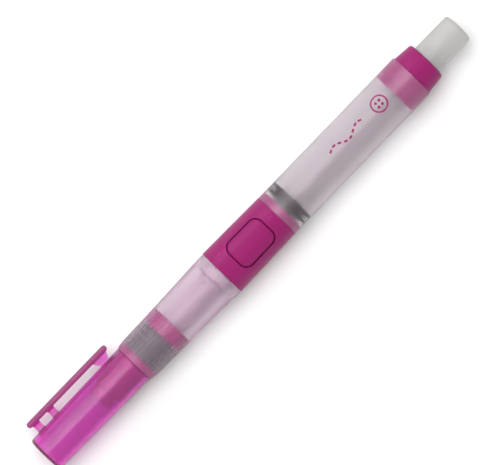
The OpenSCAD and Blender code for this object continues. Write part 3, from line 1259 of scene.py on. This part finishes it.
# a wound spring with closed ends, pressed between two stations
def coilSpring(x0, x1, meanRadius, wire, turns, sides=10, perTurn=40):
    bm = bmesh.new()
    wireCircle(bm, x0 + wire, meanRadius, wire, sides)
    section = bm.verts[:] + bm.edges[:]
    closedTurns = 0.9
    closedPitch = 2.05 * wire
    openPitch = (x1 - x0 - 2 * wire - 2 * closedTurns * closedPitch) / (turns - 2 * closedTurns)
    closed = (closedTurns, closedPitch)
    for count, pitch in (closed, (turns - 2 * closedTurns, openPitch), closed):
        steps = int(round(count * perTurn))
        made = bmesh.ops.spin(
            bm,
            geom=section,
            cent=(0, 0, 0),
            axis=(1, 0, 0),
            dvec=(pitch * count * mm / steps, 0, 0),
            angle=math.tau * count,
            steps=steps,
        )
        section = made["geom_last"]
    bmesh.ops.remove_doubles(bm, verts=bm.verts, dist=weld)
    bmesh.ops.holes_fill(bm, edges=[e for e in bm.edges if e.is_boundary], sides=0)
    return bm


springShapes = {
    "knobSpring": dict(node="knob_spring", turns=9, joint="knob_press", keep=0.7, fixed=0),
    "releaseSpring": dict(node="release_spring", turns=4, joint="release_slide", keep=0.72, fixed=1),
}
springWire = 0.2  # radius
for name, s in springShapes.items():
    x0, x1, outer = span(s["node"])
    coil = piece(
        name,
        coilSpring(x0, x1, outer - springWire, springWire, s["turns"]),
        "springSteel",
        "barrel",
        [s["node"]],
    )
    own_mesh(coil)

piece("springSeat", buildSeat(seatShape), "nozzleSatin", "barrel", ["spring_seat"])
piece("rearBush", buildBush(bushShape), "blackMoulding", "barrel", ["rear_bushing"])
piece("bushRing", buildRing(), "nitrileBlack", "barrel", ["bushing_o_ring"], 60.0)
piece("driveTube", buildDriveTube(), "clearInner", "knob", ["drive_tube"])

# parts whose own shape is right only take a finish
carried = {
    "mechanism_frame": "milkyInner",
    "rod_brake": "greyRubber",
    "release_slider": "whiteAcetal",
    "clutch_ring": "turnedBrass",
    "collet": "creamAcetal",
}
for node, look in carried.items():
    for index in range(len(nodes[node].material_slots)):
        nodes[node].material_slots[index].material = paint[look]
print("mechanism made")

# rear barrel, collar and knob

collarShape = {
    "shoulderRadius": 6.05,
    "rimRadius": 5.55,
    "rimRound": 0.7,
    "knobBore": 4.3,
    "flangeBore": 4.97,
}
knobShape = {
    "radius": 4.22,
    "endRound": 0.95,
    "flangeLength": 1.2,
    "skirtBore": 3.55,
    "bossBore": 2.62,
    "coreBore": 2.1,
    "endWall": 1.4,
    "dimple": 1.1,
}


def buildRear(s):
    x0, x1, r = span("rear_barrel")
    return turned([(x0, s["bore"], 0), (x0, r, 0.1), (x1, r, s["edge"]), (x1, s["bore"], 0.1)], 160)


def buildCup(bore=2.7, recess=3.5, floor=0.7):
    x0, x1, _ = span("spring_cup")
    r = rearShape["bore"] + bite
    return turned(
        [
            (x0, bore, 0.05),
            (x0, r, 0.12),
            (x1, r, 0.1),
            (x1, recess, 0.05),
            (x0 + floor, recess, 0),
            (x0 + floor, bore, 0.05),
        ],
        120,
    )


def buildCollar(s):
    x0, x1, _ = span("end_collar")
    skirt = rearShape["bore"] + bite
    shoulder = span("rear_barrel")[1] + 0.02
    return turned(
        [
            (x0, s["flangeBore"], 0.05),
            (x0, skirt, 0.1),
            (shoulder, skirt, 0),
            (shoulder, s["shoulderRadius"], 0.15),
            (x1, s["rimRadius"], s["rimRound"]),
            (x1, s["knobBore"], 0.1),
            (shoulder - 0.22, s["knobBore"], 0),
            (shoulder - 0.22, s["flangeBore"], 0),
        ],
        144,
    )


def buildKnob(s):
    x0, x1, flange = span("push_knob")
    springEnd = span("knob_spring")[1] + 0.03
    tubeEnd = span("drive_tube")[1] + 0.05
    return turned(
        [
            (x0, s["skirtBore"], 0.1),
            (x0, flange, 0.15),
            (x0 + s["flangeLength"], flange, 0.1),
            (x0 + s["flangeLength"], s["radius"], 0),
            (x1 - 0.2, s["radius"], s["endRound"]),
            (x1, s["radius"] - 1.8, 0.3),
            (x1, s["dimple"] + 0.12, 0.03),
            (x1 - 0.12, s["dimple"], 0),
            (x1 - 0.12, 0, 0),
            (x1 - s["endWall"], 0, 0),
            (x1 - s["endWall"], s["coreBore"], 0.3),
            (tubeEnd, s["coreBore"], 0),
            (tubeEnd, s["bossBore"], 0),
            (springEnd, s["bossBore"], 0.05),
            (springEnd, s["skirtBore"], 0),
        ]
    )


piece("rearBarrel", buildRear(rearShape), "rearFrost", "barrel", ["rear_barrel"])
piece("springCup", buildCup(), "nozzleSatin", "barrel", ["spring_cup"])
collar = piece("endCollar", buildCollar(collarShape), "magentaSatin", "barrel", ["end_collar"])
collar.data.materials.append(paint["nozzleSatin"])  # the thin skirt is painted a lighter magenta than the rest of the collar: painted light, for the glow seen through the rear barrel
for face in collar.data.polygons:
    if face.center.x < (span("rear_barrel")[1] - 0.3) * mm:
        face.material_index = 1
piece("pushKnob", buildKnob(knobShape), "knobFrost", "knob", ["push_knob"])
print("rear end made")

# printed stitches and sewing button on the rear barrel

printShape = {
    "thickness": 0.012,
    "offset": 1.1,
    "stitchStart": 104.2,
    "stitchLength": 1.1,
    "stitchGap": 0.42,
    "stitchWidth": 0.55,
    "stitchCount": 8,
    "waveHeight": 0.8,
    "waveLength": 8.2,
    "iconCentre": 121.8,
    "iconRadius": 2.35,
    "iconLine": 0.42,
    "holeRadius": 0.4,
    "holeSpread": 0.62,
}


def printDisc(bm, x, y, radius, inner=0.0):
    disc = bmesh.new()
    bmesh.ops.create_circle(disc, cap_ends=True, segments=48, radius=radius * mm)
    if inner:
        line = (radius - inner) * mm
        bmesh.ops.inset_region(disc, faces=disc.faces[:], thickness=line, use_boundary=True)
        middle = [f for f in disc.faces if f.calc_center_median().length < weld and len(f.verts) > 8]
        bmesh.ops.delete(disc, geom=middle, context="FACES")
    bmesh.ops.translate(disc, vec=(x * mm, y * mm, 0), verts=disc.verts)
    joinInto(bm, disc)


def buildPrint(s):
    bm = bmesh.new()
    radius = span("rear_barrel")[2]
    for i in range(s["stitchCount"]):
        x = s["stitchStart"] + s["stitchLength"] / 2 + i * (s["stitchLength"] + s["stitchGap"])
        phase = math.tau * (x - s["stitchStart"]) / s["waveLength"]
        y = s["offset"] + s["waveHeight"] * math.sin(phase)
        slope = math.atan(s["waveHeight"] * math.tau / s["waveLength"] * math.cos(phase))
        dash = bmesh.new()
        bmesh.ops.create_grid(dash, x_segments=1, y_segments=1, size=0.5)
        bmesh.ops.scale(dash, vec=(s["stitchLength"] * mm, s["stitchWidth"] * mm, 1), verts=dash.verts)
        bmesh.ops.bevel(
            dash,
            geom=dash.verts[:],
            offset=s["stitchWidth"] * 0.49 * mm,
            segments=6,
            profile=0.5,
            affect="VERTICES",
            material=-1,
        )
        bmesh.ops.rotate(dash, cent=(0, 0, 0), matrix=Matrix.Rotation(slope, 3, "Z"), verts=dash.verts)
        bmesh.ops.translate(dash, vec=(x * mm, y * mm, 0), verts=dash.verts)
        joinInto(bm, dash)
    x, y = s["iconCentre"], s["offset"]
    printDisc(bm, x, y, s["iconRadius"], s["iconRadius"] - s["iconLine"])
    for dx in (-1, 1):
        for dy in (-1, 1):
            printDisc(bm, x + dx * s["holeSpread"], y + dy * s["holeSpread"], s["holeRadius"])
    bmesh.ops.triangulate(bm, faces=bm.faces[:])
    sliceAcross(bm, s["offset"] - 2.5, s["offset"] + 2.5, 0.25)
    lifted = bmesh.ops.extrude_face_region(bm, geom=bm.faces[:], use_keep_orig=True)
    top = [g for g in lifted["geom"] if isinstance(g, bmesh.types.BMVert)]
    bmesh.ops.translate(bm, vec=(0, 0, s["thickness"] * mm), verts=top)
    wrap(bm, lambda x: radius + 0.002, radius)
    return bm


piece("stitchPrint", buildPrint(printShape), "printInk", "barrel", [])
print("print made")

# floor, light and camera

studio = {
    "floorSize": 6.0,
    "floorColour": (0.89, 0.89, 0.885),
    "floorMottle": (0.87, 0.87, 0.87),
    "worldStrength": 0.62,
    "lightDistance": 0.75,
    # (name, power, degrees from the zenith, width, length, shows as a highlight)
    "lights": [("sideSoftbox", 1.7, 46.0, 0.4, 0.6, True), ("overheadPanel", 4.0, 14.0, 0.44, 0.58, False)],
    "target": (74.65, 3.46, 0.0),
    "fieldWidth": 121.57,
    "lens": 400.0,
    "roll": 46.04,
}


def buildStudio(s):
    bm = bmesh.new()
    bmesh.ops.create_grid(bm, x_segments=8, y_segments=8, size=s["floorSize"] / 2)
    bmesh.ops.translate(bm, vec=(0, 0, cadLow.z), verts=bm.verts)
    floor = objectFrom(bm, "studioFloor")
    card = bpy.data.materials.new("floorCard")
    card.use_nodes = True
    tree = card.node_tree
    shader = tree.nodes["Principled BSDF"]
    place = addNode(tree, "ShaderNodeTexCoord").outputs["Object"]
    mottled = mixColour(tree, noise(tree, place, 3.0), (*s["floorColour"], 1.0), (*s["floorMottle"], 1.0))
    tree.links.new(mottled, shader.inputs["Base Color"])
    shader.inputs["Roughness"].default_value = 0.8
    shader.inputs["Specular IOR Level"].default_value = 0.2
    floor.data.materials.append(card)

    world = bpy.data.worlds.new("softWorld")
    scene.world = world
    world.use_nodes = True
    backdrop = world.node_tree.nodes["Background"]
    backdrop.inputs["Color"].default_value = (1, 1, 1, 1)
    backdrop.inputs["Strength"].default_value = s["worldStrength"]

    centre = Vector(s["target"]) * mm
    for name, power, fromZenith, width, length, shines in s["lights"]:
        softbox = bpy.data.lights.new(name, "AREA")
        softbox.shape = "RECTANGLE"
        softbox.size, softbox.size_y = length, width
        softbox.energy = power
        lamp = bpy.data.objects.new(name, softbox)
        scene.collection.objects.link(lamp)
        tilt = math.radians(fromZenith)
        away = Vector((0, math.sin(tilt), math.cos(tilt)))
        lamp.location = centre + away * s["lightDistance"]
        lamp.rotation_euler = (-away).to_track_quat("-Z", "Y").to_euler()
        lamp.visible_camera = False
        lamp.visible_glossy = shines

    cameraData = bpy.data.cameras.new("camera")
    cameraData.type = "PERSP"
    cameraData.sensor_width = 36.0
    cameraData.lens = s["lens"]
    distance = s["fieldWidth"] * mm * s["lens"] / cameraData.sensor_width
    cameraData.clip_start, cameraData.clip_end = 0.05, 10.0
    camera = bpy.data.objects.new("camera", cameraData)
    scene.collection.objects.link(camera)
    camera.location = centre + Vector((0, 0, distance))
    camera.rotation_euler = (0, 0, -math.radians(s["roll"]))
    scene.camera = camera
    scene.view_settings.view_transform = "Standard"


buildStudio(studio)
print("studio made")
